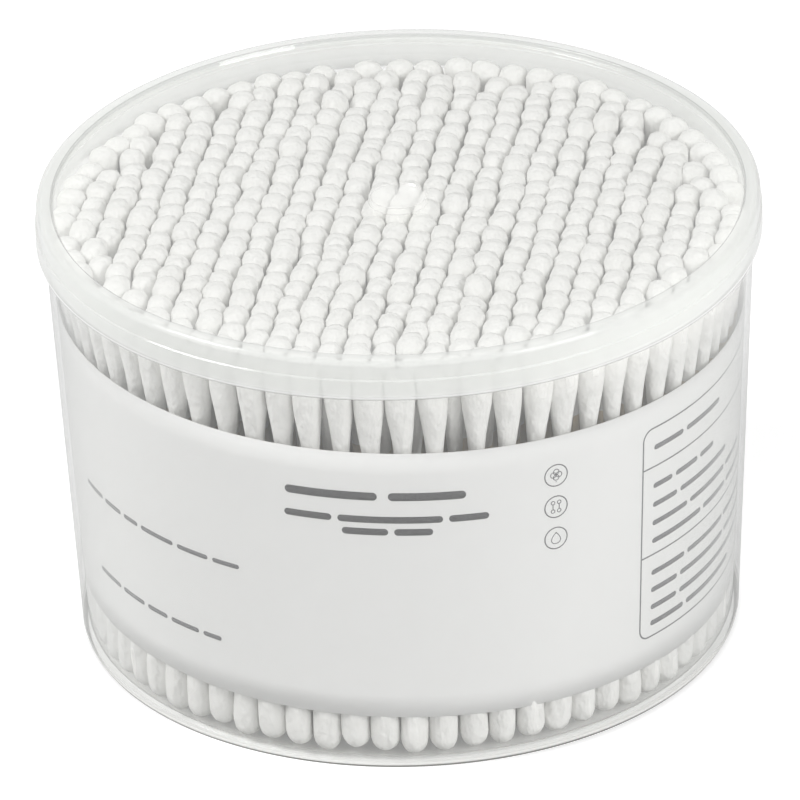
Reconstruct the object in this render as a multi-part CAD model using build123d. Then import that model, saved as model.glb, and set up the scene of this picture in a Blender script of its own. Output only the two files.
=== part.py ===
# Round tub of double-headed cotton swabs: a tapered clear tub, a pressed-on lid, a paper label that
# lines the inside of the wall, and swabs stood on end. The swabs next to the wall stand in a ring and
# lean with the wall's taper. The others fill the core in close-packed rows that fan out the same way.
# Millimetres, +Z up, origin at the middle of the underside.
from build123d import *
from itertools import pairwise
from math import atan2, cos, floor, hypot, pi, radians, sin, tan
import os

os.makedirs("parts", exist_ok=True)

# Cotton swab
swab_length = 72.6
stick_diameter = 2.3
head_diameter = 4.64
tip_length = 2.2
barrel_length = 4.4
taper_length = 7.6
swab_sides = 5

# Packing of the swabs
wall_gap = 0.15
ring_pitch = 4.75
core_head_diameter = 4.38
core_gap = 0.06
row_lean_deg = 9.5
floor_gap = 0.15
headroom = 2.1
core_wedges = 24

# Tub
base_radius = 55.1
draft_deg = 2.8
tub_wall = 1.0
tub_floor = 1.2
foot_height = 0.4
foot_width = 2.4
base_edge = 1.0
floor_edge = 0.8

# Paper label
label_bottom = 9.6
label_height = 50.4
label_thickness = 0.2
label_gap = 0.05
label_seam = 1.5

# Lid
lid_wall = 0.8
lid_skirt = 7.0
lid_band = 3.7
lid_band_step = 0.25
panel_thickness = 1.0
panel_drop = 1.0
rim_width = 2.5
rim_radius = 1.0
rim_steps = 3
lid_fit_gap = 0.3
lid_seat_gap = 0.1
gate_diameter = 9.4
gate_depth = 0.35

# Levels worked out from the sizes above
floor_level = foot_height + tub_floor
swab_bottom = floor_level + floor_gap
swab_top = swab_bottom + swab_length
panel_underside = swab_top + headroom
panel_top = panel_underside + panel_thickness
lid_top = panel_top + panel_drop
channel_roof = lid_top - panel_thickness
mouth_level = channel_roof - lid_seat_gap


def wall_radius(height):
    """Outer radius of the tapered wall at a height."""
    return base_radius + height * tan(radians(draft_deg))


def bore_radius(height):
    """Inner radius of the wall at a height."""
    return wall_radius(height) - tub_wall


def turned(points):
    """Full turn about Z of a closed outline of (radius, height) points."""
    return revolve(Plane.XZ * make_face(Polyline(*points, close=True)), Axis.Z)


def make_tub():
    """Moulded tub: a drafted wall, a flat floor and a low foot ring that it stands on."""
    foot_inside = base_radius - foot_width
    return turned(
        [
            (0, foot_height),
            (foot_inside - foot_height, foot_height),
            (foot_inside, 0),
            (base_radius - base_edge, 0),
            (wall_radius(base_edge), base_edge),
            (wall_radius(mouth_level), mouth_level),
            (bore_radius(mouth_level), mouth_level),
            (bore_radius(floor_level + floor_edge), floor_level + floor_edge),
            (bore_radius(floor_level) - floor_edge, floor_level),
            (0, floor_level),
        ]
    )


def make_label():
    """Paper band that lines the wall from inside, with its two ends almost meeting at the back."""
    top = label_bottom + label_height
    outside = [(bore_radius(height) - label_gap, height) for height in (label_bottom, top)]
    inside = [(radius - label_thickness, height) for radius, height in reversed(outside)]
    reach = wall_radius(top)
    seam = Pos(0, reach, label_bottom + label_height / 2) * Box(label_seam, reach, 2 * label_height)
    return turned(outside + inside) - seam


def make_lid():
    """Moulded lid: a stepped skirt, a raised rim that is a channel over the tub's mouth, and a panel
    that drops inside it, with a shallow round gate mark in its middle."""
    skirt_inside = wall_radius(mouth_level) + lid_fit_gap
    skirt_outside = skirt_inside + lid_wall
    skirt_bottom = lid_top - lid_skirt
    band_top = skirt_bottom + lid_band
    upper_outside = skirt_outside - lid_band_step
    plug_outside = bore_radius(panel_underside) - lid_fit_gap
    rim_inside = upper_outside - rim_width
    gate_radius = gate_diameter / 2
    rim_angles = [step * pi / 2 / rim_steps for step in range(rim_steps + 1)]
    rim_round = [
        (upper_outside + rim_radius * (cos(angle) - 1), lid_top + rim_radius * (sin(angle) - 1))
        for angle in rim_angles
    ]
    return turned(
        [
            (0, panel_underside - gate_depth),
            (gate_radius, panel_underside - gate_depth),
            (gate_radius + gate_depth, panel_underside),
            (plug_outside, panel_underside),
            (plug_outside, channel_roof),
            (skirt_inside, channel_roof),
            (skirt_inside, skirt_bottom),
            (skirt_outside, skirt_bottom),
            (skirt_outside, band_top - lid_band_step),
            (upper_outside, band_top),
            *rim_round,
            (rim_inside, lid_top),
            (rim_inside - panel_drop / 2, panel_top),
            (gate_radius, panel_top),
            (gate_radius - gate_depth, panel_top - gate_depth),
            (0, panel_top - gate_depth),
        ]
    )


def many_sided(sections):
    """Flat-sided solid through coaxial polygons, each given as (radius, height), where a radius of
    zero is a point. Next sections are joined by one flat face along each side."""
    turn = 2 * pi / swab_sides
    rings = [
        [(radius * cos(side * turn), radius * sin(side * turn), height) for side in range(swab_sides)]
        for radius, height in sections
    ]
    outlines = [ring for ring in (rings[0], rings[-1]) if ring[0] != ring[1]]
    for lower, upper in pairwise(rings):
        for side in range(swab_sides):
            after = (side + 1) % swab_sides
            outlines.append(dict.fromkeys([lower[side], lower[after], upper[after], upper[side]]))
    return Solid(Shell([Face(Wire.make_polygon(outline)) for outline in outlines]))


def make_ring_swab():
    """Double-headed swab: a stick between two cotton heads, each a tip, a barrel and a taper."""
    stick = stick_diameter / 2
    head = head_diameter / 2
    barrel_end = tip_length + barrel_length
    half = [(0, 0), (head, tip_length), (head, barrel_end), (stick, barrel_end + taper_length)]
    other_half = [(radius, swab_length - height) for radius, height in reversed(half)]
    return many_sided(half + other_half)


def make_core_swab():
    """Swab of the core, of which only the pointed top shows between its neighbours."""
    head = core_head_diameter / 2
    return many_sided([(head, 0), (head, swab_length - tip_length), (0, swab_length)])


# A swab's foot and top lie on one ray from the axis, so the spacing grows by this much towards the lid
ring_foot_radius = bore_radius(swab_bottom + tip_length) - wall_gap - head_diameter / 2
ring_top_radius = bore_radius(swab_top - tip_length) - wall_gap - head_diameter / 2
fan_out = ring_top_radius / ring_foot_radius
core_pitch = core_head_diameter + core_gap
core_radius = ring_foot_radius - (head_diameter + core_head_diameter) / 2 - core_gap


def stand(swab, x, y, facing):
    """Stand a swab with its foot at (x, y), leaning outwards, with one corner turned to facing."""
    lean = Vector(x * (fan_out - 1), y * (fan_out - 1), swab_length - 2 * tip_length)
    return Plane((x, y, swab_bottom), x_dir=facing, z_dir=lean).location * swab


def ring_feet():
    """Feet of the swabs that stand along the wall."""
    count = floor(2 * pi * ring_foot_radius / ring_pitch)
    angles = [2 * pi * place / count for place in range(count)]
    return [(ring_foot_radius * cos(angle), ring_foot_radius * sin(angle)) for angle in angles]


def core_feet():
    """Feet of the swabs of the core: rows along a leaning line, with every other row moved by half a
    pitch so that the rows nest."""
    lean = radians(row_lean_deg)
    row_pitch = core_pitch * sin(pi / 3)
    rows = floor(core_radius / row_pitch)
    places = floor(core_radius / core_pitch) + 1
    feet = []
    for row in range(-rows, rows + 1):
        for place in range(-places, places + 1):
            across = row * row_pitch
            along = (place + (row % 2) / 2) * core_pitch
            x = across * cos(lean) + along * sin(lean)
            y = along * cos(lean) - across * sin(lean)
            if hypot(x, y) <= core_radius:
                feet.append((x, y))
    return feet


def wedge(x, y):
    """Number of the wedge of the core, counted round the axis, that a foot lies in."""
    return floor(atan2(y, x) / (2 * pi) % 1 * core_wedges)


def save(name, shape):
    """Write one piece, or one group of separate like pieces, as its own file."""
    export_step(shape, f"parts/{name}.step")


save("tub", make_tub())
save("paper_label", make_label())
save("lid", make_lid())

ring_swab = make_ring_swab()
save("swab_ring", Compound([stand(ring_swab, x, y, (x, y, 0)) for x, y in ring_feet()]))

core_swab = make_core_swab()
row_direction = (sin(radians(row_lean_deg)), cos(radians(row_lean_deg)), 0)
for number in range(core_wedges):
    feet = [(x, y) for x, y in core_feet() if wedge(x, y) == number]
    swabs = [stand(core_swab, x, y, row_direction) for x, y in feet]
    save(f"swab_wedge_{number + 1:02d}", Compound(swabs))

print("swabs in the ring", len(ring_feet()), "and in the core", len(core_feet()))
print("fan out", round(fan_out, 4), "mouth", round(mouth_level, 2), "lid top", round(lid_top, 2))
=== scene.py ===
# %% [markdown]
# # A round tub of cotton swabs
#
# The object is a clear plastic tub with a pressed-on lid. A white paper label lines its wall from
# inside, and it is packed with double-headed cotton swabs that stand on end. The construction is
# already settled in another model, so this lesson only gives it its looks: every new piece lies where
# the piece lies that it stands for. Lengths are in metres, +Z is up and the floor is at zero.

# %% Load the fixed frame
import bpy
import numpy as np
from mathutils import Matrix, Vector


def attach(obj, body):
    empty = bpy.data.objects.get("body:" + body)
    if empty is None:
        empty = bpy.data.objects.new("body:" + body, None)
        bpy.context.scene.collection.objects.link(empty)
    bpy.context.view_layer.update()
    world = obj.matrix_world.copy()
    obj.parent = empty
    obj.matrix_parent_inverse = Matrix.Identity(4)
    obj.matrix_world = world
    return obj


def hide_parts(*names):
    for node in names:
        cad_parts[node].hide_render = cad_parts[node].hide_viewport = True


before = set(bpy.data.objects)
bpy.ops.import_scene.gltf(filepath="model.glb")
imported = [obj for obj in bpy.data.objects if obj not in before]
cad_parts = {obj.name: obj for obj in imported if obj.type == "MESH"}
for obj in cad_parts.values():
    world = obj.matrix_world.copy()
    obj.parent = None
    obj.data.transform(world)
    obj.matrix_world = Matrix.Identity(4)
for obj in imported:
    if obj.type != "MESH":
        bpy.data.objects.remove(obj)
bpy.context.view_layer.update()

# %% [markdown]
# ## Sizes
#
# The same sizes as in the construction, in millimetres times one thousandth. Heights build on one
# another from the floor up: foot, floor of the tub, swabs, headroom, lid.

# %% Sizes of the tub, lid, label and swabs
MM = 0.001
SWAB_LENGTH, STICK_RADIUS = 72.6 * MM, 1.15 * MM
RING_PITCH, WALL_GAP = 4.75 * MM, 0.15 * MM
RING_HEAD_RADIUS, CORE_HEAD_RADIUS, CORE_GAP = 2.32 * MM, 2.19 * MM, 0.06 * MM
TIP_LENGTH = 2.2 * MM
ROW_LEAN = np.radians(9.5)
CORE_WEDGES = 24
BASE_RADIUS, DRAFT, WALL = 55.1 * MM, np.radians(2.8), 1.0 * MM
FOOT_HEIGHT, FOOT_WIDTH, TUB_FLOOR, FLOOR_GAP = 0.4 * MM, 2.4 * MM, 1.2 * MM, 0.15 * MM
LABEL_BOTTOM, LABEL_HEIGHT, LABEL_THICKNESS = 9.6 * MM, 50.4 * MM, 0.2 * MM
LABEL_GAP, LABEL_SEAM = 0.05 * MM, 1.5 * MM
HEADROOM, PANEL, PANEL_DROP = 2.1 * MM, 1.0 * MM, 1.0 * MM
LID_WALL, LID_SKIRT, LID_BAND, LID_STEP = 0.8 * MM, 7.0 * MM, 3.7 * MM, 0.25 * MM
RIM_WIDTH, RIM_RADIUS, FIT_GAP, SEAT_GAP = 2.5 * MM, 1.0 * MM, 0.3 * MM, 0.1 * MM
GATE_RADIUS, GATE_DEPTH = 4.7 * MM, 0.35 * MM

FLOOR_LEVEL = FOOT_HEIGHT + TUB_FLOOR
SWAB_BOTTOM = FLOOR_LEVEL + FLOOR_GAP
SWAB_TOP = SWAB_BOTTOM + SWAB_LENGTH
PANEL_UNDERSIDE = SWAB_TOP + HEADROOM
PANEL_TOP = PANEL_UNDERSIDE + PANEL
LID_TOP = PANEL_TOP + PANEL_DROP
SKIRT_BOTTOM = LID_TOP - LID_SKIRT
CHANNEL_ROOF = LID_TOP - PANEL
MOUTH = CHANNEL_ROOF - SEAT_GAP


def wall_radius(height):
    """Outer radius of the tapered wall at a height: base radius plus height times the draft's slope."""
    return BASE_RADIUS + height * np.tan(DRAFT)


def bore_radius(height):
    """Inner radius of the wall at a height."""
    return wall_radius(height) - WALL


# %% [markdown]
# ## The camera
#
# The photograph was taken with a very long lens from about 28 degrees above the table, turned by
# nearly two degrees. The numbers come from fitting circles of known height to the rims of the
# tub, the lid and the label in the picture, which is 800 pixels wide.

# %% Camera
IMAGE_WIDTH_PX, FOCAL_PX, SENSOR_MM = 800, 10774, 36.0
CAMERA_ELEVATION, CAMERA_ROLL = np.radians(28.56), np.radians(-1.81)
CAMERA_DISTANCE = 1793.8 * MM
AIM = np.array([-0.76, 0.0, 38.98]) * MM


def place_camera():
    """Camera on a sphere about the aim point: back is the unit vector from the aim to the camera,
    and right and up are turned about it by the roll."""
    back = np.array([0, -np.cos(CAMERA_ELEVATION), np.sin(CAMERA_ELEVATION)])
    right = np.array([1.0, 0, 0])
    up = np.cross(back, right)
    turned_right = right * np.cos(CAMERA_ROLL) + up * np.sin(CAMERA_ROLL)
    turned_up = up * np.cos(CAMERA_ROLL) - right * np.sin(CAMERA_ROLL)
    lens = bpy.data.cameras.new("camera")
    lens.sensor_width = SENSOR_MM
    lens.lens = FOCAL_PX / IMAGE_WIDTH_PX * SENSOR_MM
    camera = bpy.data.objects.new("camera", lens)
    axes = np.eye(4)
    axes[:3, 0], axes[:3, 1], axes[:3, 2] = turned_right, turned_up, back
    axes[:3, 3] = AIM + back * CAMERA_DISTANCE
    camera.matrix_world = Matrix(axes.tolist())
    bpy.context.scene.collection.objects.link(camera)
    bpy.context.scene.camera = camera
    print("lens in mm:", round(lens.lens, 1))


place_camera()

# %% [markdown]
# ## One way to make every shape here
#
# A tub, a lid and a swab are all the same kind of surface: rings of points about an axis, closed by a
# single point at each end. So one helper makes them all. It takes an array of rings, and one call may
# hold hundreds of such shapes, which then share one mesh. The faces are worked out as index arrays,
# so there is no loop over vertices.

# %% Mesh helpers
def mesh_object(name, points, quads, triangles=np.empty((0, 3), dtype=int)):
    """New object with a mesh of the given points and faces, smooth, at the origin."""
    loops = np.concatenate([quads.ravel(), triangles.ravel()]).astype(np.int32)
    sizes = np.concatenate([np.full(len(quads), 4), np.full(len(triangles), 3)])
    starts = np.concatenate([[0], np.cumsum(sizes)[:-1]]).astype(np.int32)
    mesh = bpy.data.meshes.new(name)
    mesh.vertices.add(len(points))
    mesh.vertices.foreach_set("co", np.asarray(points, dtype=np.float32).ravel())
    mesh.loops.add(len(loops))
    mesh.loops.foreach_set("vertex_index", loops)
    mesh.polygons.add(len(sizes))
    mesh.polygons.foreach_set("loop_start", starts)
    mesh.polygons.foreach_set("use_smooth", np.ones(len(sizes), dtype=bool))
    mesh.update(calc_edges=True)
    mesh.validate()
    piece = bpy.data.objects.new(name, mesh)
    bpy.context.scene.collection.objects.link(piece)
    return piece


def closed_shapes(rings, first, last):
    """Points and faces of shapes that run from a point through rings to a point.
    rings is (shapes, rings, sides, 3), counter-clockwise seen from the last point, and first and
    last are (shapes, 3). Faces point outwards. Returns points, quads, triangles."""
    count, levels, sides, _ = rings.shape
    points = np.concatenate([rings.reshape(count, -1, 3), first[:, None], last[:, None]], axis=1)
    per_shape = levels * sides + 2
    level, side = np.meshgrid(np.arange(levels - 1), np.arange(sides), indexing="ij")
    after = (side + 1) % sides
    quads = np.stack([level * sides + side, level * sides + after,
                      (level + 1) * sides + after, (level + 1) * sides + side], axis=-1).reshape(-1, 4)
    here = np.arange(sides)
    after = (here + 1) % sides
    top = (levels - 1) * sides
    bottom_fan = np.stack([np.full(sides, levels * sides), after, here], axis=-1)
    top_fan = np.stack([np.full(sides, levels * sides + 1), top + here, top + after], axis=-1)
    fans = np.concatenate([bottom_fan, top_fan])
    shift = (np.arange(count) * per_shape)[:, None, None]
    return points.reshape(-1, 3), (quads + shift).reshape(-1, 4), (fans + shift).reshape(-1, 3)


def rounded(outline, steps=4, margin=0.06 * MM):
    """Outline with its corners rounded. Each entry is (radius, height, rounding): the corner becomes
    an arc of that rounding between its two tangent points, with one more point a margin beyond each,
    which keeps the smooth shading of the flats flat."""
    corners = np.array([entry[:2] for entry in outline])
    made = [corners[0]]
    for before, corner, after, (_, _, rounding) in zip(corners, corners[1:], corners[2:], outline[1:]):
        back, forth = before - corner, after - corner
        back, forth = back / np.linalg.norm(back), forth / np.linalg.norm(forth)
        half = np.arccos(np.clip(back @ forth, -1, 1)) / 2
        reach = rounding / np.tan(half)
        middle = (back + forth) / np.linalg.norm(back + forth)
        centre = corner + middle * rounding / np.sin(half)
        start, stop = corner + back * reach - centre, corner + forth * reach - centre
        turn = np.pi - 2 * half
        shares = np.linspace(0, 1, steps + 1)[:, None]
        arc = (np.sin((1 - shares) * turn) * start + np.sin(shares * turn) * stop) / np.sin(turn)
        made += [corner + back * (reach + margin), *(centre + arc), corner + forth * (reach + margin)]
    return np.array(made + [corners[-1]])


def lathed(name, outline, sides=256):
    """Full turn about Z of an outline of (radius, height) that starts and ends on the axis: point =
    (radius cos a, radius sin a, height) for each angle a."""
    angles = np.arange(sides) * 2 * np.pi / sides
    radius, height = outline[1:-1, 0], outline[1:-1, 1]
    rings = np.stack([radius[:, None] * np.cos(angles), radius[:, None] * np.sin(angles),
                      np.repeat(height[:, None], sides, axis=1)], axis=-1)
    ends = np.array([[[0, 0, outline[0, 1]]], [[0, 0, outline[-1, 1]]]])
    piece = mesh_object(name, *closed_shapes(rings[None], ends[0], ends[1]))
    print(name, "faces:", len(piece.data.polygons))
    return piece


# %% [markdown]
# ## The tub
#
# A real tub is one injection moulding: a wall with a few degrees of draft so that it leaves the mould,
# a flat floor, and a low foot ring so that it stands steady. Its corners are all slightly rounded, and
# on clear plastic those small roundings are what catches the light, so the outline has them all.

# %% Tub
def make_tub():
    """The tub's outline, from the middle of the underside out, up the wall, and back in to the floor."""
    foot_inside = BASE_RADIUS - FOOT_WIDTH
    outline = [
        (0, FOOT_HEIGHT, 0),
        (foot_inside - FOOT_HEIGHT, FOOT_HEIGHT, 0.2 * MM),
        (foot_inside, 0, 0.2 * MM),
        (BASE_RADIUS, 0, 1.3 * MM),
        (wall_radius(MOUTH), MOUTH, 0.25 * MM),
        (bore_radius(MOUTH), MOUTH, 0.25 * MM),
        (bore_radius(FLOOR_LEVEL), FLOOR_LEVEL, 1.0 * MM),
        (0, FLOOR_LEVEL, 0),
    ]
    return lathed("tub_moulding", rounded(outline))


tub = make_tub()
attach(tub, "tub")
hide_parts("tub")

# %% [markdown]
# ## The lid
#
# The lid is a second moulding. Its raised rim is a channel that presses over the tub's mouth, the
# panel inside it sits a millimetre lower, and a round mark in the middle shows where the plastic was
# injected.

# %% Lid
def make_lid():
    """The lid's outline, from the middle of the panel's underside out, round the skirt, over the rim and
    back in along the panel's top."""
    skirt_inside = wall_radius(MOUTH) + FIT_GAP
    skirt_outside = skirt_inside + LID_WALL
    band_top = SKIRT_BOTTOM + LID_BAND
    upper_outside = skirt_outside - LID_STEP
    plug_outside = bore_radius(PANEL_UNDERSIDE) - FIT_GAP
    rim_inside = upper_outside - RIM_WIDTH
    outline = [
        (0, PANEL_UNDERSIDE - GATE_DEPTH, 0),
        (GATE_RADIUS, PANEL_UNDERSIDE - GATE_DEPTH, 0.15 * MM),
        (GATE_RADIUS + GATE_DEPTH, PANEL_UNDERSIDE, 0.15 * MM),
        (plug_outside, PANEL_UNDERSIDE, 0.3 * MM),
        (plug_outside, CHANNEL_ROOF, 0.2 * MM),
        (skirt_inside, CHANNEL_ROOF, 0.2 * MM),
        (skirt_inside, SKIRT_BOTTOM, 0.2 * MM),
        (skirt_outside, SKIRT_BOTTOM, 0.25 * MM),
        (skirt_outside, band_top - LID_STEP, 0.12 * MM),
        (upper_outside, band_top, 0.1 * MM),
        (upper_outside, LID_TOP, RIM_RADIUS),
        (rim_inside, LID_TOP, 0.35 * MM),
        (rim_inside - PANEL_DROP / 2, PANEL_TOP, 0.35 * MM),
        (GATE_RADIUS, PANEL_TOP, 0.12 * MM),
        (GATE_RADIUS - GATE_DEPTH, PANEL_TOP - GATE_DEPTH, 0.12 * MM),
        (0, PANEL_TOP - GATE_DEPTH, 0),
    ]
    return lathed("lid_moulding", rounded(outline))


lid = make_lid()
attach(lid, "lid")
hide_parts("lid")

# %% [markdown]
# ## The label
#
# The label is a strip of paper cut as a flat arc, so that it lies against the tapered wall when it is
# bent round. Its two ends nearly meet at the back, and it was put in by hand, so it sits a little
# lower on the right. It is a grid over angle and height, closed into a thin solid by a second grid a
# paper's thickness further in.

# %% Label
LABEL_TILT = 1.45 * MM
LABEL_MIDDLE = bore_radius(LABEL_BOTTOM + LABEL_HEIGHT / 2) - LABEL_GAP


def on_label(angle, height, depth):
    """Points on the label. angle is in radians from the front, to the right as seen from outside. The
    real height is the height on the label less the tilt times the angle's sine, and the radius is
    the bore's there, less the gap and the depth."""
    real = height - LABEL_TILT * np.sin(angle)
    radius = bore_radius(real) - LABEL_GAP - depth
    return np.stack([radius * np.sin(angle), -radius * np.cos(angle), real], axis=-1)


def sheet_between(angle, height, outer_depth, inner_depth):
    """Thin closed sheet over a grid of angle and height, with the angle growing along the second axis
    and height along the first: an outer grid, an inner grid, and a strip round the edge."""
    points = np.concatenate([on_label(angle, height, outer_depth).reshape(-1, 3),
                             on_label(angle, height, inner_depth).reshape(-1, 3)])
    index = np.arange(angle.size).reshape(angle.shape)
    face = np.stack([index[:-1, :-1], index[:-1, 1:], index[1:, 1:], index[1:, :-1]], axis=-1)
    face = face.reshape(-1, 4)
    edge = np.concatenate([index[0, :-1], index[:-1, -1], index[-1, :0:-1], index[:0:-1, 0]])
    after = np.roll(edge, -1)
    strip = np.stack([edge + angle.size, after + angle.size, after, edge], axis=-1)
    return points, np.concatenate([face, face[:, ::-1] + angle.size, strip])


def make_label():
    """One turn of paper less the seam, 360 cells round and 12 high."""
    half_turn = np.pi - LABEL_SEAM / 2 / LABEL_MIDDLE
    height, angle = np.meshgrid(np.linspace(LABEL_BOTTOM, LABEL_BOTTOM + LABEL_HEIGHT, 13),
                                np.linspace(-half_turn, half_turn, 361), indexing="ij")
    points, quads = sheet_between(angle, height, 0.0, LABEL_THICKNESS)
    return mesh_object("paper_band", points, quads)


label = make_label()
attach(label, "tub")
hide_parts("paper_label")

# %% [markdown]
# ## The print
#
# Words are shown as plain bars of ink, one for each word. An image texture would do, but ink as thin
# closed patches on the paper stays sharp at any distance. Two shapes are enough: a bar with round ends,
# and a line that follows a closed path.

# %% Ink shapes
INK_OUT, INK_IN, INK_STEP, LEAST_HALF = -0.025 * MM, 0.06 * MM, 1.0, 0.02


def ink_bar(start, end, height, thickness):
    """Bar with round ends from one angle to another, in degrees, at a height in millimetres. Half its
    height at a place is the root of its end radius squared less the distance past the end's
    centre squared."""
    radius = thickness * MM / 2
    ends = np.radians([start, end]) * LABEL_MIDDLE
    turn = np.linspace(0, np.pi / 2, 6)
    steps = 2 + int((end - start) / INK_STEP)
    middle = np.linspace(ends[0] + radius, ends[1] - radius, steps)[1:-1]
    run = np.concatenate([ends[0] + radius * (1 - np.cos(turn)), middle,
                          ends[1] - radius * (1 - np.cos(turn[::-1]))])
    half = np.concatenate([np.sin(turn), np.ones(len(middle)), np.sin(turn[::-1])]) * radius
    half = np.maximum(half, LEAST_HALF * radius)
    rows = np.linspace(-1, 1, 3)[:, None]
    return sheet_between(np.tile(run / LABEL_MIDDLE, (3, 1)), height * MM + rows * half, INK_OUT, INK_IN)


def ink_loop(angle, height, width):
    """Line of a width in millimetres along a closed path that runs counter-clockwise, given as angles in
    radians and heights in metres. Each point is moved half the width to either side along the
    path's normal, and the four edges of the line are joined round."""
    flat = np.stack([angle * LABEL_MIDDLE, height], axis=-1)
    along = np.roll(flat, -1, axis=0) - np.roll(flat, 1, axis=0)
    along /= np.linalg.norm(along, axis=1, keepdims=True)
    aside = np.stack([along[:, 1], -along[:, 0]], axis=-1) * width * MM / 2
    outer, inner = flat + aside, flat - aside
    edges = [on_label(side[:, 0] / LABEL_MIDDLE, side[:, 1], depth)
             for side, depth in ((outer, INK_OUT), (inner, INK_OUT), (inner, INK_IN), (outer, INK_IN))]
    index = np.arange(4 * len(flat)).reshape(4, -1)
    below, after = np.roll(index, -1, axis=0), np.roll(index, -1, axis=1)
    quads = np.stack([index, after, np.roll(below, -1, axis=1), below], axis=-1).reshape(-1, 4)
    return np.concatenate(edges), quads


def ink_circle(centre, height, radius, width):
    """Circle about an angle in degrees and a height, radius and line width in millimetres."""
    turn = np.linspace(0, 2 * np.pi, 48, endpoint=False)
    return ink_loop(np.radians(centre) + radius * MM * np.cos(turn) / LABEL_MIDDLE,
                    (height + radius * np.sin(turn)) * MM, width)


def ink_frame(start, end, low, high, corner, width):
    """Rounded frame between two angles in degrees and two heights in millimetres. It is straight between
    four quarter circles, and divided finely enough along its long sides to follow the wall."""
    left, right = np.radians([start, end]) * LABEL_MIDDLE / MM
    turn = np.linspace(0, np.pi / 2, 9)
    run = np.linspace(0, 1, 41)[1:-1, None]
    corners = ((right, high, left + corner, high), (left, high, left, low + corner),
               (left, low, right - corner, low), (right, low, right, high - corner))
    path = []
    for number, (x, y, next_x, next_y) in enumerate(corners):
        towards = np.sign([x - (left + right) / 2, y - (low + high) / 2])
        angles = turn + number * np.pi / 2
        path.append(np.array([x, y]) - towards * corner
                    + corner * np.stack([np.cos(angles), np.sin(angles)], axis=-1))
        path.append(path[-1][-1] * (1 - run) + np.array([next_x, next_y]) * run)
    path = np.concatenate(path)
    return ink_loop(path[:, 0] * MM / LABEL_MIDDLE, path[:, 1] * MM, width)


def ink_piece(name, shapes):
    """One piece of several ink shapes, riding on the tub."""
    offsets = np.cumsum([0] + [len(points) for points, _ in shapes])
    points = np.concatenate([points for points, _ in shapes])
    quads = np.concatenate([quads + offset for (_, quads), offset in zip(shapes, offsets)])
    piece = mesh_object(name, points, quads)
    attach(piece, "tub")
    return piece


def words(start, end, height, thickness, lengths, gap):
    """Row of bars between two angles in degrees, with the given shares of the row and gaps between."""
    lengths = np.array(lengths, dtype=float)
    lengths *= (end - start - gap * (len(lengths) - 1)) / lengths.sum()
    starts = start + np.concatenate([[0], np.cumsum(lengths + gap)[:-1]])
    return [ink_bar(first, first + length, height, thickness) for first, length in zip(starts, lengths)]


# %% [markdown]
# ## Title and the lines under it
#
# On the real label the title is the boldest print, and two thinner rows of words stand under it. Each
# row is given by its ends, its height and the shares of its words, so the bars keep the rhythm of real
# words without saying anything.

# %% Title and subtitle
title = ink_piece("print_title", words(-20.5, 9.6, 51.9, 1.5, (6, 5), 1.8))
subtitle = ink_piece("print_subtitle", words(-20.8, 13.4, 47.5, 1.25, (6, 13, 5), 1.0)
                     + words(-11.1, 4.0, 45.2, 1.25, (6, 5), 1.0))
print("title and subtitle faces:", len(title.data.polygons), len(subtitle.data.polygons))

# %% [markdown]
# ## Three round signs
#
# Packs often have small round signs for what is inside. These have plain motifs, a cotton boll, a pair
# of swabs and a drop, drawn from the same bars and closed lines. A stick is many short bars on top of
# one another, because a bar always runs round the wall.

# %% Signs
SIGN_PITCH, SIGN_LINE = 5.95, 0.14


def sign_shapes(place, height):
    """The three signs: a boll of four puffs, a pair of swabs, and a drop, each in a ring."""
    rings = [ink_circle(place, height - SIGN_PITCH * number, 2.0, 0.2) for number in range(3)]
    degree = np.degrees(MM / LABEL_MIDDLE)
    boll = [ink_circle(place + x * degree, height + y, 0.5, SIGN_LINE)
            for x, y in ((-0.5, 0.1), (0.5, 0.1), (0, 0.65), (0, -0.4))]
    boll.append(ink_bar(place - 0.09 * degree, place + 0.09 * degree, height - 1.2, 0.18))
    pair, middle = [], height - SIGN_PITCH
    for x in (-0.55, 0.55):
        pair += [ink_circle(place + x * degree, middle + y, 0.32, SIGN_LINE) for y in (-0.8, 0.8)]
        pair += [ink_bar(place + (x - 0.08) * degree, place + (x + 0.08) * degree, middle + y, 0.16)
                 for y in np.arange(-0.4, 0.41, 0.1)]
    turn = np.linspace(0, 2 * np.pi, 40, endpoint=False)
    drop_x, drop_y = 0.75 * np.cos(turn) * np.clip(1 - np.sin(turn), 0.0, 2) ** 0.5, 1.05 * np.sin(turn)
    drop = ink_loop(np.radians(place) + drop_x * MM / LABEL_MIDDLE,
                    (height - 2 * SIGN_PITCH + drop_y) * MM, SIGN_LINE)
    return rings + boll + pair + [drop]


signs = ink_piece("print_signs", sign_shapes(25.2, 52.7))
print("signs faces:", len(signs.data.polygons))

# %% [markdown]
# ## The table and the side text
#
# The table on the right is a rounded frame with two rules across, and its rows are words like the rest.
# Two more rows stand alone on the left. Both are seen at a slant, which the paper's curve gives them.

# %% Table and side text
TABLE_LEFT, TABLE_RIGHT, TABLE_LOW, TABLE_HIGH = 43.0, 118.0, 15.1, 55.0
table = [ink_frame(TABLE_LEFT, TABLE_RIGHT, TABLE_LOW, TABLE_HIGH, 2.0, 0.28)]
table += [ink_bar(TABLE_LEFT, TABLE_RIGHT, height, 0.28) for height in (47.6, 30.8)]
TABLE_LINES = ((51.2, 66, (4, 6)), (43.9, 64, (3, 4, 3)), (40.3, 70, (3, 8)), (36.8, 80, (5, 7, 5)),
               (33.4, 90, (6, 4, 8)), (27.3, 84, (4, 6, 6)), (24.0, 92, (3, 7, 9)), (20.7, 96, (3, 12, 6)),
               (17.6, 74, (4, 8)))
for height, end, lengths in TABLE_LINES:
    table += words(45.6, end, height, 0.95, lengths, 1.0)
table = ink_piece("print_table", table)

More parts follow.
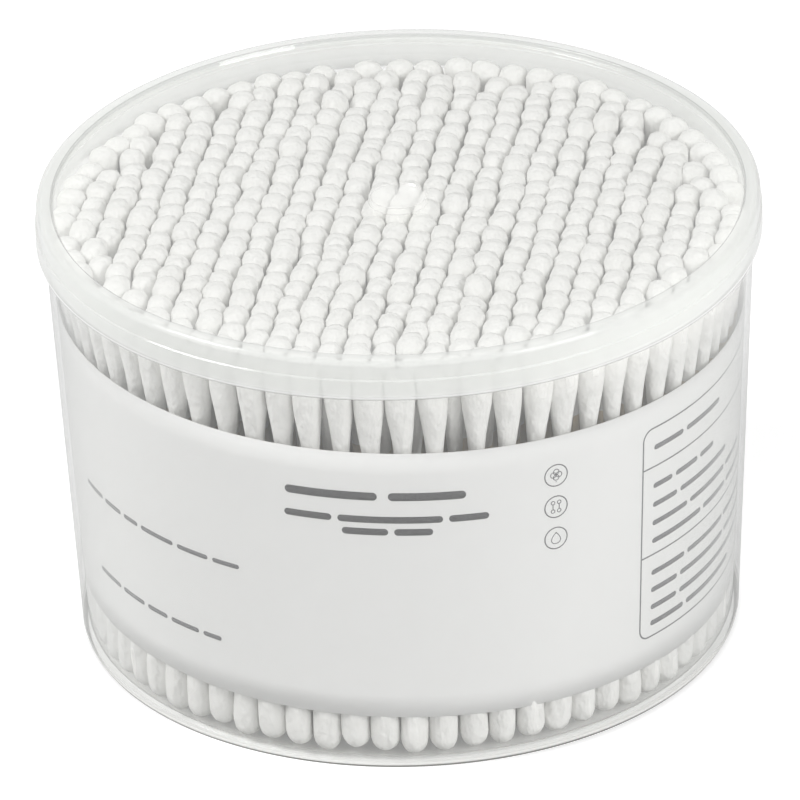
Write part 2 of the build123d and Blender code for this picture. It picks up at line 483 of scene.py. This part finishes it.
side_text = ink_piece("print_side_text",
                      words(-70.7, -29.9, 34.5, 0.85, (5, 4, 3, 6, 5, 4), 1.0)
                      + words(-67.7, -34.5, 19.4, 0.85, (6, 5, 4, 5, 3), 1.0))
print("table and side text faces:", len(table.data.polygons), len(side_text.data.polygons))

# %% [markdown]
# ## Where the swabs stand
#
# Tubs like this are filled by shaking, and round sticks then find the closest packing by themselves.
# Next to the wall they line up in a ring. Inside it they form rows that nest, which lean a little to
# the right in the photograph. Because the wall is tapered, the whole bundle fans out towards the top.

# %% Layout of the swabs
RING_FOOT_RADIUS = bore_radius(SWAB_BOTTOM + TIP_LENGTH) - WALL_GAP - RING_HEAD_RADIUS
RING_TOP_RADIUS = bore_radius(SWAB_TOP - TIP_LENGTH) - WALL_GAP - RING_HEAD_RADIUS
FAN_OUT = RING_TOP_RADIUS / RING_FOOT_RADIUS
CORE_PITCH = 2 * CORE_HEAD_RADIUS + CORE_GAP
CORE_RADIUS = RING_FOOT_RADIUS - RING_HEAD_RADIUS - CORE_HEAD_RADIUS - CORE_GAP


def ring_feet():
    """Feet of the ring: equal angles on a circle, as many as its pitch allows."""
    count = int(2 * np.pi * RING_FOOT_RADIUS / RING_PITCH)
    angles = np.arange(count) * 2 * np.pi / count
    return RING_FOOT_RADIUS * np.stack([np.cos(angles), np.sin(angles)], axis=-1)


def core_feet():
    """Feet of the core: a hexagonal lattice turned clockwise by the rows' lean, cut off by a circle."""
    row_pitch = CORE_PITCH * np.sin(np.pi / 3)
    rows = int(CORE_RADIUS / row_pitch)
    places = int(CORE_RADIUS / CORE_PITCH) + 1
    row, place = np.meshgrid(np.arange(-rows, rows + 1), np.arange(-places, places + 1), indexing="ij")
    across, along = row * row_pitch, (place + (row % 2) / 2) * CORE_PITCH
    feet = np.stack([across * np.cos(ROW_LEAN) + along * np.sin(ROW_LEAN),
                     along * np.cos(ROW_LEAN) - across * np.sin(ROW_LEAN)], axis=-1).reshape(-1, 2)
    return feet[np.hypot(feet[:, 0], feet[:, 1]) <= CORE_RADIUS]


def wedge(feet):
    """Number of the wedge round the axis that each foot lies in."""
    return (np.arctan2(feet[:, 1], feet[:, 0]) / (2 * np.pi) % 1 * CORE_WEDGES).astype(int)


print("ring:", len(ring_feet()), "core:", len(core_feet()))

# %% [markdown]
# ## Shaking the tub
#
# On the feet's plan some gaps are left between the ring and the rows. In a real tub the tops spread
# into them when it is shaken. That could be a physics simulation, but all it does is push neighbours
# apart, so a few rounds of that on an array of points give the same picture at no cost. The feet
# stay where they are, and the swabs lean by what their tops move.

# %% Tops of the swabs
TOP_SPACING, ROUNDS, PUSH = 5.02 * MM, 400, 0.2


def settled_tops(feet):
    """Tops start at the feet times the fan-out. In each round, two tops nearer than the spacing push
    each other apart by a fifth of what is missing, and none leaves the circle of the ring."""
    tops = feet * FAN_OUT
    for _ in range(ROUNDS):
        apart = tops[:, None] - tops[None]
        distance = np.hypot(apart[..., 0], apart[..., 1]) + np.eye(len(tops))
        missing = np.clip(TOP_SPACING - distance, 0, None) * (1 - np.eye(len(tops)))
        tops = tops + PUSH * (apart * (missing / distance)[..., None]).sum(axis=1)
        reach = np.hypot(tops[:, 0], tops[:, 1])
        tops *= np.minimum(1, RING_TOP_RADIUS / reach)[:, None]
    return tops


all_feet = np.concatenate([ring_feet(), core_feet()])
all_tops = settled_tops(all_feet)
moved = np.linalg.norm(all_tops - all_feet * FAN_OUT, axis=1)
print("tops moved in mm, mean and most:", round(moved.mean() / MM, 2), round(moved.max() / MM, 2))

# %% [markdown]
# ## The cotton swabs
#
# A swab is a thin bamboo stick with cotton wound on both ends while it spins, so a head is round, a
# little lumpy, and tapers down to the stick. No two are the same: they differ in thickness, in height
# and in where the tip ends up. Each shape is a profile carried up a leaning axis, and a few waves round
# the head, with random phases from a fixed seed, make the lumps. The swabs of the ring are seen from
# close by through the wall and get more faces than the hundreds behind them.

# %% Profile of a head
COTTON_LENGTH, SLOPE_START, SLOPE_END = 17.5 * MM, 4.6 * MM, 17.5 * MM
THIN_COTTON = 0.3 * MM
DOME_AT_TOP, DOME_AT_FOOT = 2.1 * MM, 3.1 * MM


def head_radius(depth, radius, dome):
    """Radius of a cotton head at a depth below its tip. A quarter of a superellipse with power 2.4 makes
    the dome. Then a slope, one less the share's square to the third power, goes down to a thin layer
    of cotton on the stick, and that layer runs out over the last few millimetres."""
    tip = np.clip(1 - (1 - np.clip(depth / dome, 0, 1)) ** 2.4, 0, 1) ** (1 / 2.4)
    share = np.clip((depth - SLOPE_START) / (SLOPE_END - SLOPE_START), 0, 1)
    thin = STICK_RADIUS + THIN_COTTON * np.clip((COTTON_LENGTH - depth) / (2 * MM), 0.25, 1)
    return tip * (thin + (radius - thin) * (1 - share ** 2) ** 3)


# %% [markdown]
# ## All the swabs at once
#
# A single swab could be made and copied, but then all of them would be alike. Here each array has one
# row for each swab, so every swab gets its own lean, thickness, lumps and bend in a single pass.

# %% Scatter and lumps
# Each scatter is a mean, a spread, the least and the most.
LIFT, THICKER = (0.25 * MM, 0.35 * MM, 0, 1.1 * MM), (-0.01, 0.03, -0.08, 0.035)
SHIFT, BEND = (0, 0.15 * MM, -0.3 * MM, 0.3 * MM), (0, 0.35 * MM, -0.6 * MM, 0.6 * MM)
RISE = (0, 0.18 * MM, -0.4 * MM, 0.4 * MM)
LUMP_WAVES, LUMP_TWIST = ((1, 0.03), (2, 0.035), (3, 0.025)), 0.6 / MM


def scattered(random, scatter, shape):
    """Normally distributed numbers of a scatter, an array of the given shape."""
    mean, spread, least, most = scatter
    return random.normal(mean, spread, shape).clip(least, most)


def lumps_on(along, angles, random):
    """Lumps as shares of the radius: a sum of waves round the swab, each with a number of waves, a
    height, and its own phase, which turns slowly on the way up."""
    count = len(angles)
    lumps = np.zeros((count, len(along), angles.shape[1]))
    for waves, height in LUMP_WAVES:
        phase = random.uniform(0, 2 * np.pi, (count, 1, 1))
        twist = random.uniform(-LUMP_TWIST, LUMP_TWIST, (count, 1, 1))
        lumps += height * np.sin(waves * angles[:, None, :] + phase + twist * along[None, :, None])
    return lumps


print("largest lump as a share of the radius:", sum(height for _, height in LUMP_WAVES))

# %% [markdown]
# ## Heads that press on one another
#
# In a full tub the soft heads touch and flatten, mostly along the rows. So towards the top a head gets
# wider along its row and its section goes from a circle to a superellipse, a rounded square. A physics
# simulation of soft bodies would find the same shape slowly.

# %% Swab shapes
def swab_shapes(feet, tops, radii, depths, sides, pressed, random):
    """Rings and end points of one swab per foot, each from its foot towards its top. radii and depths
    are pairs for foot and top: the head's radius, and the depths below the tip at which it has rings.
    pressed is a level direction for each swab: towards its top it gets wider along that by the
    vector's length and a third of that narrower across. Returns rings, first, last."""
    count = len(feet)
    up = np.concatenate([tops - feet, np.full((count, 1), SWAB_LENGTH - 2 * TIP_LENGTH)], axis=1)
    up /= np.linalg.norm(up, axis=1, keepdims=True)
    widening = np.linalg.norm(pressed, axis=1)[:, None, None]
    side_x = np.cross(np.concatenate([pressed, np.zeros((count, 1))], axis=1), up)
    side_x /= np.linalg.norm(side_x, axis=1, keepdims=True)
    side_y = np.cross(up, side_x)
    lift = scattered(random, LIFT, (count, 1))
    base = np.concatenate([feet, SWAB_BOTTOM + lift], axis=1)

    along = np.concatenate([depths[0], SWAB_LENGTH - depths[1][::-1]])
    outline = np.concatenate([head_radius(depths[0], radii[0], DOME_AT_FOOT),
                              head_radius(depths[1], radii[1], DOME_AT_TOP)[::-1]])
    angles = np.arange(sides) * 2 * np.pi / sides + random.uniform(0, 2 * np.pi, (count, 1))
    thick = 1 + scattered(random, THICKER, (count, 1, 1))
    grown = outline[None, :, None] * (thick + lumps_on(along, angles, random))

    top = np.clip(2 * along / SWAB_LENGTH - 1, 0, 1)
    tip = np.clip(1 - (SWAB_LENGTH - along) / (2 * TIP_LENGTH), 0, 1) ** 2
    off = scattered(random, SHIFT, (count, 2, 1)) * top + scattered(random, BEND, (count, 2, 1)) * tip
    rise = scattered(random, RISE, (count, 1)) * top
    wide = widening * top[:, None]
    across, beside = np.cos(angles)[:, None, :], np.sin(angles)[:, None, :]
    square = 2 + 3 * wide
    grown = grown * (np.abs(across) ** square + np.abs(beside) ** square) ** (-1 / square)
    local_x = grown * across * (1 - wide / 3) + off[:, 0, :, None]
    local_y = grown * beside * (1 + wide) + off[:, 1, :, None]
    rings = (base[:, None, None] + local_x[..., None] * side_x[:, None, None]
             + local_y[..., None] * side_y[:, None, None]
             + (along + rise)[..., None, None] * up[:, None, None])
    last = base + side_x * off[:, 0, -1:] + side_y * off[:, 1, -1:] + up * (SWAB_LENGTH + rise[:, -1:])
    return rings, base, last


# The depths below the tips at which the swabs have rings: foot, top.
CORE_DEPTHS = (np.array([0.6, 3.6, 17.5]) * MM, np.array([0.12, 0.6, 1.6, 4.6, 17.5]) * MM)
RING_DEPTHS = (np.array([0.06, 0.3, 0.8, 1.5, 2.4, 3.6, 5.2, 7.2, 9.6, 17.5]) * MM,
               np.array([0.15, 0.7, 1.6, 3.0, 4.6, 5.8, 7.2, 8.8, 10.6, 13.0, 17.5]) * MM)


# %% [markdown]
# ## Groups of swabs
#
# The construction keeps the ring as one piece and the core as wedges, like slices of a cake. This
# lesson keeps the same groups, one mesh each, so every new piece stands for one that exists.

# %% Swab meshes
def make_swabs(name, feet, tops, radii, depths, sides, pressed, random):
    """One mesh of all the swabs of a group, with cotton on the heads and bamboo between them."""
    rings, first, last = swab_shapes(feet, tops, radii, depths, sides, pressed, random)
    points, quads, fans = closed_shapes(rings, first, last)
    piece = mesh_object(name, points, quads, fans)
    level = np.tile(np.repeat(np.arange(rings.shape[1] - 1), sides), len(feet))
    kinds = np.concatenate([level == len(depths[0]) - 1, np.zeros(len(fans), dtype=bool)])
    piece.data.materials.append(None)
    piece.data.materials.append(None)
    piece.data.polygons.foreach_set("material_index", kinds.astype(np.int32))
    return piece


RING_PRESSED, ROW_PRESSED = 0.06, 0.28
RING_HEADS, CORE_HEADS = (2.36 * MM, 2.45 * MM), (CORE_HEAD_RADIUS, 2.48 * MM)
RING_SIDES, CORE_SIDES = 16, 9
random = np.random.default_rng(7)
ring_count = len(ring_feet())
round_the_wall = np.stack([-all_feet[:ring_count, 1], all_feet[:ring_count, 0]], axis=-1)
round_the_wall *= RING_PRESSED / np.linalg.norm(round_the_wall, axis=1, keepdims=True)
swab_pieces = [make_swabs("ring_swabs", all_feet[:ring_count], all_tops[:ring_count], RING_HEADS,
                          RING_DEPTHS, RING_SIDES, round_the_wall, random)]
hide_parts("swab_ring")
numbers = wedge(all_feet)
numbers[:ring_count] = -1
for number in range(CORE_WEDGES):
    own = numbers == number
    along_row = np.tile([np.sin(ROW_LEAN), np.cos(ROW_LEAN)], (own.sum(), 1)) * ROW_PRESSED
    swab_pieces.append(make_swabs(f"swabs_of_wedge_{number + 1:02d}", all_feet[own], all_tops[own],
                                  CORE_HEADS, CORE_DEPTHS, CORE_SIDES, along_row, random))
    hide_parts(f"swab_wedge_{number + 1:02d}")
for piece in swab_pieces:
    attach(piece, "tub")
print("swab faces:", sum(len(piece.data.polygons) for piece in swab_pieces))

# %% [markdown]
# ## Two shared effects
#
# Several finishes here need the same two things. One is a natural grain, stretched for wood and even
# for cotton and paper. The other is a soft-edged zone, such as the milky rim of the lid or the painted
# shade line along the tub's foot. Both are node groups with named sockets, built once and used with
# other values. Two small helpers come first, because most of a node tree is arithmetic.

# %% Node groups
def feed(tree, socket, value):
    """Link a socket to another node's output, or set it to a number or a colour of three channels."""
    if isinstance(value, bpy.types.NodeSocket):
        tree.links.new(value, socket)
    else:
        socket.default_value = (*value, 1) if isinstance(value, tuple) else value


def maths(tree, operation, *values):
    """Output of a math node whose inputs are outputs of other nodes or numbers."""
    node = tree.nodes.new("ShaderNodeMath")
    node.operation = operation
    for socket, value in zip(node.inputs, values):
        feed(tree, socket, value)
    return node.outputs["Value"]


def new_group(name, sockets):
    """Node group with float or vector sockets: sockets is a list of (name, direction, kind, value)."""
    group = bpy.data.node_groups.new(name, "ShaderNodeTree")
    for label_text, direction, kind, value in sockets:
        socket = group.interface.new_socket(name=label_text, in_out=direction, socket_type=kind)
        if value is not None:
            socket.default_value = value
    return group, group.nodes.new("NodeGroupInput"), group.nodes.new("NodeGroupOutput")


def grain_group():
    """Grain: noise on the object's own coordinates, stretched by a factor on each axis."""
    group, entry, result = new_group("natural_grain", [
        ("Scale", "INPUT", "NodeSocketFloat", 500.0), ("Stretch", "INPUT", "NodeSocketVector", (1, 1, 1)),
        ("Detail", "INPUT", "NodeSocketFloat", 3.0), ("Grain", "OUTPUT", "NodeSocketFloat", None)])
    nodes, links = group.nodes, group.links
    place = nodes.new("ShaderNodeTexCoord")
    stretch = nodes.new("ShaderNodeMapping")
    noise = nodes.new("ShaderNodeTexNoise")
    links.new(place.outputs["Object"], stretch.inputs["Vector"])
    links.new(entry.outputs["Stretch"], stretch.inputs["Scale"])
    links.new(stretch.outputs["Vector"], noise.inputs["Vector"])
    for name in ("Scale", "Detail"):
        links.new(entry.outputs[name], noise.inputs[name])
    links.new(noise.outputs["Fac"], result.inputs["Grain"])
    return group


def zone_group(limits):
    """Zone: one where the radius about a centre and the height keep the given limits, zero outside, with
    soft edges. limits are names such as From Radius or To Height, and each is an input."""
    group, entry, result = new_group("tub_zone", [
        (limit, "INPUT", "NodeSocketFloat", 0.0) for limit in limits] + [
        ("Soft", "INPUT", "NodeSocketFloat", 0.0005), ("Centre", "INPUT", "NodeSocketVector", (0, 0, 0)),
        ("Mask", "OUTPUT", "NodeSocketFloat", None)])
    nodes, links = group.nodes, group.links
    place = nodes.new("ShaderNodeTexCoord")
    from_centre, flat, radius = (nodes.new("ShaderNodeVectorMath") for _ in range(3))
    from_centre.operation, flat.operation, radius.operation = "SUBTRACT", "MULTIPLY", "LENGTH"
    flat.inputs[1].default_value = (1, 1, 0)
    links.new(place.outputs["Object"], from_centre.inputs[0])
    links.new(entry.outputs["Centre"], from_centre.inputs[1])
    links.new(from_centre.outputs["Vector"], flat.inputs[0])
    links.new(flat.outputs["Vector"], radius.inputs[0])
    split = nodes.new("ShaderNodeSeparateXYZ")
    links.new(place.outputs["Object"], split.inputs["Vector"])
    measures = {"Radius": radius.outputs["Value"], "Height": split.outputs["Z"]}
    joined = None
    for limit in limits:
        side, measure = limit.split()
        inwards = (measures[measure], entry.outputs[limit])
        ramp = nodes.new("ShaderNodeMapRange")
        ramp.interpolation_type = "SMOOTHSTEP"
        links.new(maths(group, "SUBTRACT", *inwards[::1 if side == "From" else -1]), ramp.inputs["Value"])
        links.new(maths(group, "MULTIPLY", entry.outputs["Soft"], -1), ramp.inputs["From Min"])
        links.new(entry.outputs["Soft"], ramp.inputs["From Max"])
        mask = ramp.outputs["Result"]
        joined = maths(group, "MULTIPLY", joined, mask) if joined else mask
    links.new(joined, result.inputs["Mask"])
    return group


def zone_mask(tree, **values):
    """Mask of a zone. Zones with the same limits share one group, built when it is first asked for,
    because limits that nobody needs would still cost time in every sample."""
    limits = tuple(name.replace("_", " ") for name in values if name.startswith(("From", "To")))
    if limits not in ZONES:
        ZONES[limits] = zone_group(limits)
    return add_group(tree, ZONES[limits], **values).outputs["Mask"]


def add_group(tree, group, **values):
    """Group node with its inputs set: an underscore in a name stands for a space."""
    node = tree.nodes.new("ShaderNodeGroup")
    node.node_tree = group
    for text, value in values.items():
        node.inputs[text.replace("_", " ")].default_value = value
    return node


GRAIN, ZONES = grain_group(), {}

# %% [markdown]
# ## Cotton, bamboo and paper
#
# Their grain tells them apart: soft clumps and shallow dents in the cotton, long fibres in the stick, a
# faint cloud in the paper, which the ink lets through. Image textures could show that, but noise on the
# object's own coordinates needs no file and has no seams. The grain shifts the colour a little and feeds
# a bump, and one function makes all these materials from their numbers.

# %% Soft materials
def new_material(name, roughness, specular):
    """Material with nodes, its tree and its Principled shader of a roughness and a specular level."""
    material = bpy.data.materials.new(name)
    material.use_nodes = True
    shader = material.node_tree.nodes["Principled BSDF"]
    shader.inputs["Roughness"].default_value = roughness
    shader.inputs["Specular IOR Level"].default_value = specular
    return material, material.node_tree, shader


def between_colours(tree, mask, first, second):
    """Colour that goes from first to second as the mask goes from zero to one. Each is three channels
    or another node's output."""
    mix = tree.nodes.new("ShaderNodeMix")
    mix.data_type = "RGBA"
    for name, value in (("Factor", mask), ("A", first), ("B", second)):
        feed(tree, mix.inputs[name], value)
    return mix.outputs["Result"]


def grained_material(name, finish, grain, colours, bump=None, bump_grain=None):
    """Material whose colour goes between two colours with a grain. finish is roughness and specular
    level. bump, if any, is strength and distance, and follows the same grain or one of its own."""
    material, tree, shader = new_material(name, *finish)
    pattern = add_group(tree, GRAIN, **grain).outputs["Grain"]
    tree.links.new(between_colours(tree, pattern, *colours), shader.inputs["Base Color"])
    if bump:
        node = tree.nodes.new("ShaderNodeBump")
        node.inputs["Strength"].default_value, node.inputs["Distance"].default_value = bump
        height = add_group(tree, GRAIN, **bump_grain).outputs["Grain"] if bump_grain else pattern
        tree.links.new(height, node.inputs["Height"])
        tree.links.new(node.outputs["Normal"], shader.inputs["Normal"])
    return material


cotton = grained_material("wound_cotton", (0.95, 0.15), {"Scale": 300.0, "Detail": 2.0},
                          ((0.79, 0.786, 0.762), (0.872, 0.87, 0.85)), (0.8, 1.0 * MM),
                          {"Scale": 560.0, "Stretch": (1, 1, 0.6), "Detail": 2.0})
bamboo = grained_material("bamboo", (0.6, 0.5), {"Scale": 3000.0, "Stretch": (1, 1, 0.04), "Detail": 3.0},
                          ((0.52, 0.40, 0.25), (0.76, 0.65, 0.46)), (0.2, 0.1 * MM))
paper = grained_material("white_paper", (0.55, 0.5), {"Scale": 420.0, "Detail": 6.0},
                         ((0.765, 0.765, 0.755), (0.80, 0.80, 0.79)), (0.1, 0.05 * MM))
black, grey = (grained_material(name, (0.5, 0.5), {"Scale": 900.0, "Detail": 4.0},
                                (colour, tuple(channel * 1.35 + 0.01 for channel in colour)))
               for name, colour in (("black_ink", (0.02, 0.02, 0.022)), ("grey_ink", (0.09, 0.09, 0.095))))
for piece in swab_pieces:
    piece.data.materials[0] = cotton
    piece.data.materials[1] = bamboo
label.data.materials.append(paper)
for piece, ink in ((title, black), (subtitle, black), (signs, grey), (table, grey), (side_text, grey)):
    piece.data.materials.append(ink)

# %% [markdown]
# ## Clear plastic
#
# Real refraction through a tub full of hundreds of white shapes is slow and noisy, and a wall this thin
# hardly bends the light. So the plastic is a see-through surface instead: a faint milky body, more of
# it where the wall is seen edge-on or is hazy or thick, under a gloss that grows towards grazing
# angles. Edge-on the body also turns darker, a painted shade for the dark edges that refraction
# gives, and some zones carry painted shade lines, painted highlight lines and a painted reflection.
# Layer Weight tells the angle, and the zones tell where the moulding is thick and where light and shade
# are painted.

# %% Plastic shader
# Edge-on the milky body takes this share of its colour: a painted shade for the dark edges that refraction
# gives.
EDGE_SHADE_SHARE, BODY_ROUGHNESS = 0.45, 0.5
GLOSS_FACING, GLOSS_EDGE, GLOSS_ROUGHNESS = 0.035, 0.7, 0.05
SHADOW_TINT = (0.985, 0.985, 0.985)


def between_values(tree, share, low, high):
    """Value that goes from low to high as the share goes from zero to one."""
    ramp = tree.nodes.new("ShaderNodeMapRange")
    ramp.inputs["To Min"].default_value = low
    ramp.inputs["To Max"].default_value = high
    tree.links.new(share, ramp.inputs["Value"])
    return ramp.outputs["Result"]


def facing_power(tree, weight, exponent, low, high):
    """Value that goes from low, face on, to high, edge on, with a power of Layer Weight's Facing."""
    return between_values(tree, maths(tree, "POWER", weight.outputs["Facing"], exponent), low, high)


def with_zones(tree, colour, alpha, zones):
    """Colour and alpha after each zone (group inputs, alpha, colour) has laid its colour over the one
    before and added its alpha, as far as its mask goes."""
    for values, zone_alpha, zone_colour in zones:
        mask = zone_mask(tree, **values)
        colour = between_colours(tree, mask, colour, zone_colour)
        alpha = maths(tree, "MULTIPLY_ADD", mask, zone_alpha, alpha)
        alpha.node.use_clamp = True
    return colour, alpha


def mixed_shaders(tree, factor, first, second):
    """Shader that goes from the first to the second as the factor goes from zero to one."""
    mix = tree.nodes.new("ShaderNodeMixShader")
    tree.links.new(factor, mix.inputs["Fac"])
    tree.links.new(first, mix.inputs[1])
    tree.links.new(second, mix.inputs[2])
    return mix.outputs["Shader"]


def plastic_material(name, body, thin, edge, zones):
    """See-through plastic. Its alpha goes from thin to edge with the cube of one less the cosine of the
    angle, and its colour darkens there, a painted shade for the dark edges that refraction gives. The
    gloss grows with the fifth power, the usual rule for a smooth clear surface. Shadow rays meet only a
    plain clear surface, because haze throws light forward instead of stopping it, and because they
    then skip all the other nodes."""
    material, tree, shader = new_material(name, BODY_ROUGHNESS, 0.0)
    weight = tree.nodes.new("ShaderNodeLayerWeight")
    weight.inputs["Blend"].default_value = 0.5
    # Painted shade: edge-on the body darkens, in place of the dark edges of clear plastic that refraction
    # gives.
    painted_edge_shade = tuple(channel * EDGE_SHADE_SHARE for channel in body)
    colour = between_colours(tree, facing_power(tree, weight, 6, 0, 1), body, painted_edge_shade)
    colour, alpha = with_zones(tree, colour, facing_power(tree, weight, 3, thin, edge), zones)
    tree.links.new(alpha, shader.inputs["Alpha"])
    tree.links.new(colour, shader.inputs["Base Color"])
    gloss = tree.nodes.new("ShaderNodeBsdfGlossy")
    gloss.inputs["Roughness"].default_value = GLOSS_ROUGHNESS
    clear = tree.nodes.new("ShaderNodeBsdfTransparent")
    feed(tree, clear.inputs["Color"], SHADOW_TINT)
    seen = mixed_shaders(tree, facing_power(tree, weight, 5, GLOSS_FACING, GLOSS_EDGE),
                         shader.outputs["BSDF"], gloss.outputs["BSDF"])
    in_shadow = tree.nodes.new("ShaderNodeLightPath").outputs["Is Shadow Ray"]
    surface = mixed_shaders(tree, in_shadow, seen, clear.outputs["BSDF"])
    tree.links.new(surface, tree.nodes["Material Output"].inputs["Surface"])
    return material


# %% [markdown]
# ## Where the tub is thick or hazy, and where light and shade are painted on it
#
# A real moulding shows its thick places: the floor is milky, and the neck under the lid is hazier than
# the rest. Light and shade are painted on as zones too: a painted shade line along the bottom of the
# foot, a painted highlight on the corner above it, and a wide painted reflection of a softbox on the
# right front of the neck. Thickness could be worked out by refraction. Naming the places by their
# radius and height is quicker and steadier.

# %% Tub plastic
# Painted shade: a dark line along the bottom of the foot, where it meets the floor.
PAINTED_FOOT_SHADE = {"From_Radius": BASE_RADIUS - 0.8 * MM, "To_Height": 0.85 * MM, "Soft": 0.1 * MM}
# Painted highlight: a bright line on the rounded corner above the foot.
PAINTED_FOOT_HIGHLIGHT = {"From_Height": 1.0 * MM, "To_Height": 1.4 * MM, "Soft": 0.12 * MM}
THICK_FLOOR = {"To_Height": 2.2 * MM, "Soft": 0.5 * MM}
MOUTH_ZONE = {"From_Height": SKIRT_BOTTOM + 0.3 * MM, "Soft": 0.3 * MM}
# Painted reflection: a wide whitish veil on the right front of the neck, in place of a softbox's soft
# reflection.
PAINTED_SOFTBOX_REFLECTION = {"Centre": (-30 * MM, 20 * MM, 0), "From_Radius": 88.0 * MM, "From_Height": 68.0 * MM,
             "Soft": 5.0 * MM}
tub.data.materials.append(plastic_material(
    "tub_clear_plastic", (0.72, 0.73, 0.71), 0.05, 0.5,
    [(THICK_FLOOR, 0.34, (0.80, 0.80, 0.77)), (PAINTED_FOOT_HIGHLIGHT, 0.3, (0.90, 0.90, 0.88)),
     (PAINTED_FOOT_SHADE, 0.6, (0.2, 0.2, 0.19)), (PAINTED_SOFTBOX_REFLECTION, 0.16, (1.0, 0.99, 0.97)),
     (MOUTH_ZONE, 0.26, (0.88, 0.885, 0.865))]))

# %% [markdown]
# ## The lid's marks, and its painted light and shade
#
# The lid's panel is nearly clear, so the cotton shows through. Its rim is thicker and milky, a thin
# line of painted shade marks where the rim steps down to the panel, and the skirt ends in a fine
# painted highlight above a painted shade line. The gate mark in the middle is a small whitish disc.

# %% Lid plastic
GATE = {"To_Radius": GATE_RADIUS, "Soft": 0.5 * MM}
PANEL_EDGE = {"From_Radius": 50.0 * MM, "Soft": 6.0 * MM}
RIM = {"From_Radius": 57.3 * MM, "Soft": 0.2 * MM}
# Painted shade: a thin dark line where the rim steps down to the panel.
PAINTED_STEP_SHADE = {"From_Radius": 56.95 * MM, "To_Radius": 57.4 * MM, "From_Height": LID_TOP - 0.7 * MM,
              "Soft": 0.1 * MM}
# Painted shade: a dark line at the very bottom edge of the skirt.
PAINTED_SKIRT_SHADE = {"To_Height": SKIRT_BOTTOM + 0.15 * MM, "Soft": 0.08 * MM}
# Painted highlight: a bright line just above the skirt's bottom edge.
PAINTED_SKIRT_HIGHLIGHT = {"From_Height": SKIRT_BOTTOM + 0.3 * MM, "To_Height": SKIRT_BOTTOM + 0.6 * MM,
              "Soft": 0.1 * MM}
lid.data.materials.append(plastic_material(
    "lid_clear_plastic", (0.80, 0.81, 0.79), 0.03, 0.45,
    [(GATE, 0.3, (0.92, 0.92, 0.90)), (PANEL_EDGE, 0.08, (0.95, 0.96, 0.94)),
     (RIM, 0.33, (0.81, 0.82, 0.80)), (PAINTED_STEP_SHADE, 0.14, (0.42, 0.43, 0.42)),
     (PAINTED_SKIRT_SHADE, 0.16, (0.35, 0.35, 0.34)), (PAINTED_SKIRT_HIGHLIGHT, 0.12, (1.0, 1.0, 1.0))]))

# %% [markdown]
# ## Floor and light
#
# The tub was photographed on plain white, in soft light from both sides. Pure white could come from
# strong lamps, but then the cotton would lose its shading. So the floor and the surroundings look white
# only to the camera and in reflections, and two square lamps light the object at a plain level.

# %% Floor, world and lamps
SHEET_HALF, SHEET_DEPTH = 3.0, 0.05 * MM
GLOW_NEAR, GLOW_FAR, GLOW_STRENGTH = 0.9, 1.26, 0.5
WORLD_AS_LAMP, WORLD_AS_SEEN = 0.46, 1.0
LAMP_TARGET = (0, 0, 0.04)


def looked_at(tree):
    """One for rays that come straight from the camera or by way of a reflection or a clear body, zero
    for rays that only gather light."""
    ray = tree.nodes.new("ShaderNodeLightPath")
    total = ray.outputs["Is Camera Ray"]
    for name in ("Is Glossy Ray", "Is Transmission Ray"):
        total = maths(tree, "MAXIMUM", total, ray.outputs[name])
    return total


def make_floor():
    """White sheet a few metres across. Seen directly it glows a little, and more beyond the lamps' reach,
    so that it stays white to its edge and still shows the object's shadow."""
    points = np.array([[-1, -1, 0], [1, -1, 0], [1, 1, 0], [-1, 1, 0]]) * SHEET_HALF
    points[:, 2] = -SHEET_DEPTH
    floor = mesh_object("floor", points, np.array([[0, 1, 2, 3]]))
    material, tree, shader = new_material("white_floor", 0.9, 0.0)
    far = zone_mask(tree, From_Radius=0.6, Soft=0.35)
    level = between_values(tree, far, GLOW_NEAR, GLOW_FAR)
    tree.links.new(maths(tree, "MULTIPLY", looked_at(tree), level), shader.inputs["Emission Color"])
    shader.inputs["Emission Strength"].default_value = GLOW_STRENGTH
    shader.inputs["Base Color"].default_value = (0.8, 0.8, 0.8, 1)
    floor.data.materials.append(material)


def make_world():
    """White surroundings, plain white to the camera and in reflections, softer as a lamp."""
    world = bpy.data.worlds.new("studio")
    bpy.context.scene.world = world
    world.use_nodes = True
    tree = world.node_tree
    background = tree.nodes["Background"]
    background.inputs["Color"].default_value = (1, 1, 1, 1)
    strength = between_values(tree, looked_at(tree), WORLD_AS_LAMP, WORLD_AS_SEEN)
    tree.links.new(strength, background.inputs["Strength"])


def softbox(name, place, target, size, power):
    """Square lamp at place, facing target."""
    lamp = bpy.data.lights.new(name, "AREA")
    lamp.size = size
    lamp.energy = power
    holder = bpy.data.objects.new(name, lamp)
    holder.location = place
    holder.rotation_euler = (Vector(target) - Vector(place)).to_track_quat("-Z", "Y").to_euler()
    bpy.context.scene.collection.objects.link(holder)


make_floor()
make_world()
softbox("right_lamp", (0.60, -0.54, 0.50), LAMP_TARGET, 0.40, 4.05)
softbox("left_lamp", (-0.58, -0.14, 0.66), LAMP_TARGET, 0.35, 3.9)
bpy.context.scene.view_settings.view_transform = "Standard"
